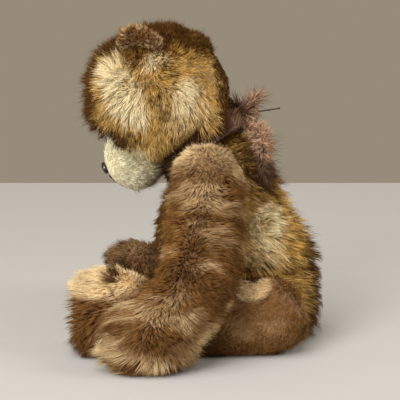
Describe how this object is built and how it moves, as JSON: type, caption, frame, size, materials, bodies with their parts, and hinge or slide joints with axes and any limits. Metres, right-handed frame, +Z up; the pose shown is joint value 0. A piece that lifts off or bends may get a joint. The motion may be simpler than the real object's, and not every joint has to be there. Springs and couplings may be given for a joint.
{
  "type": "stuffed monkey",
  "caption": "Seated plush monkey with long tipped fur, a furry scarf and a disc-jointed head, arms and legs",
  "frame": {"origin": "middle of the flat seat, on the surface that the toy sits on", "axes": "+X to the toy's left, -Y the way it faces, +Z up"},
  "size_m": [0.3, 0.1899, 0.2582],
  "materials": {
    "long_fur": "matte",
    "short_plush": "matte",
    "cream_plush": "matte",
    "suede": "matte",
    "scarf_yarn": "matte",
    "filling": "matte",
    "calico": "matte",
    "hardboard": "matte",
    "zinc_steel": "satin",
    "black_plastic": "satin",
    "nose_black": "gloss",
    "stitching_thread": "matte",
    "eye_glass": "gloss"
  },
  "bodies": {
    "torso": {"torso_cover": "long_fur", "torso_stuffing": "filling", "seat_bead_bag": "calico", "neck_torso_disc": "hardboard", "left_shoulder_torso_disc": "hardboard", "right_shoulder_torso_disc": "hardboard", "left_hip_torso_disc": "hardboard", "right_hip_torso_disc": "hardboard", "torso_joint_washers": "zinc_steel", "torso_lock_nuts": "zinc_steel", "scarf_band": "scarf_yarn", "scarf_knot": "scarf_yarn", "scarf_long_end": "scarf_yarn", "scarf_short_end": "scarf_yarn", "tag_pin": "black_plastic"},
    "head": {"head_cover": "long_fur", "head_stuffing": "filling", "muzzle_cover": "cream_plush", "muzzle_stuffing": "filling", "nose": "nose_black", "mouth_stitching": "stitching_thread", "left_eye": "eye_glass", "right_eye": "eye_glass", "eye_washers": "black_plastic", "left_ear": "short_plush", "right_ear": "short_plush", "neck_head_disc": "hardboard", "neck_head_washer": "zinc_steel", "neck_bolt": "zinc_steel"},
    "left_arm": {"left_upper_arm_cover": "short_plush", "left_forearm_cover": "short_plush", "left_paw_cover": "short_plush", "left_arm_stuffing": "filling", "left_shoulder_arm_disc": "hardboard", "left_shoulder_arm_washer": "zinc_steel", "left_shoulder_bolt": "zinc_steel"},
    "left_leg": {"left_leg_cover": "short_plush", "left_leg_stuffing": "filling", "left_foot_pad": "suede", "left_hip_leg_disc": "hardboard", "left_hip_leg_washer": "zinc_steel", "left_hip_bolt": "zinc_steel"},
    "right_arm": {"right_upper_arm_cover": "short_plush", "right_forearm_cover": "short_plush", "right_paw_cover": "short_plush", "right_arm_stuffing": "filling", "right_shoulder_arm_disc": "hardboard", "right_shoulder_arm_washer": "zinc_steel", "right_shoulder_bolt": "zinc_steel"},
    "right_leg": {"right_leg_cover": "short_plush", "right_leg_stuffing": "filling", "right_foot_pad": "suede", "right_hip_leg_disc": "hardboard", "right_hip_leg_washer": "zinc_steel", "right_hip_bolt": "zinc_steel"}
  },
  "joints": [
    {"name": "neck_turn", "type": "hinge", "parent": "torso", "child": "head", "pos_m": [0, -0.0285, 0.163], "axis": [0, -0.6401, 0.7683], "range_deg": [-45, 45]},
    {"name": "left_shoulder_swing", "type": "hinge", "parent": "torso", "child": "left_arm", "pos_m": [0.0475, -0.025, 0.13], "axis": [1, 0, 0], "range_deg": [-120, 30]},
    {"name": "right_shoulder_swing", "type": "hinge", "parent": "torso", "child": "right_arm", "pos_m": [-0.0475, -0.025, 0.13], "axis": [1, 0, 0], "range_deg": [-120, 30]},
    {"name": "left_hip_swing", "type": "hinge", "parent": "torso", "child": "left_leg", "pos_m": [0.0475, 0.024, 0.03], "axis": [1, 0, 0], "range_deg": [0, 90]},
    {"name": "right_hip_swing", "type": "hinge", "parent": "torso", "child": "right_leg", "pos_m": [-0.0475, 0.024, 0.03], "axis": [1, 0, 0], "range_deg": [0, 90]}
  ]
}
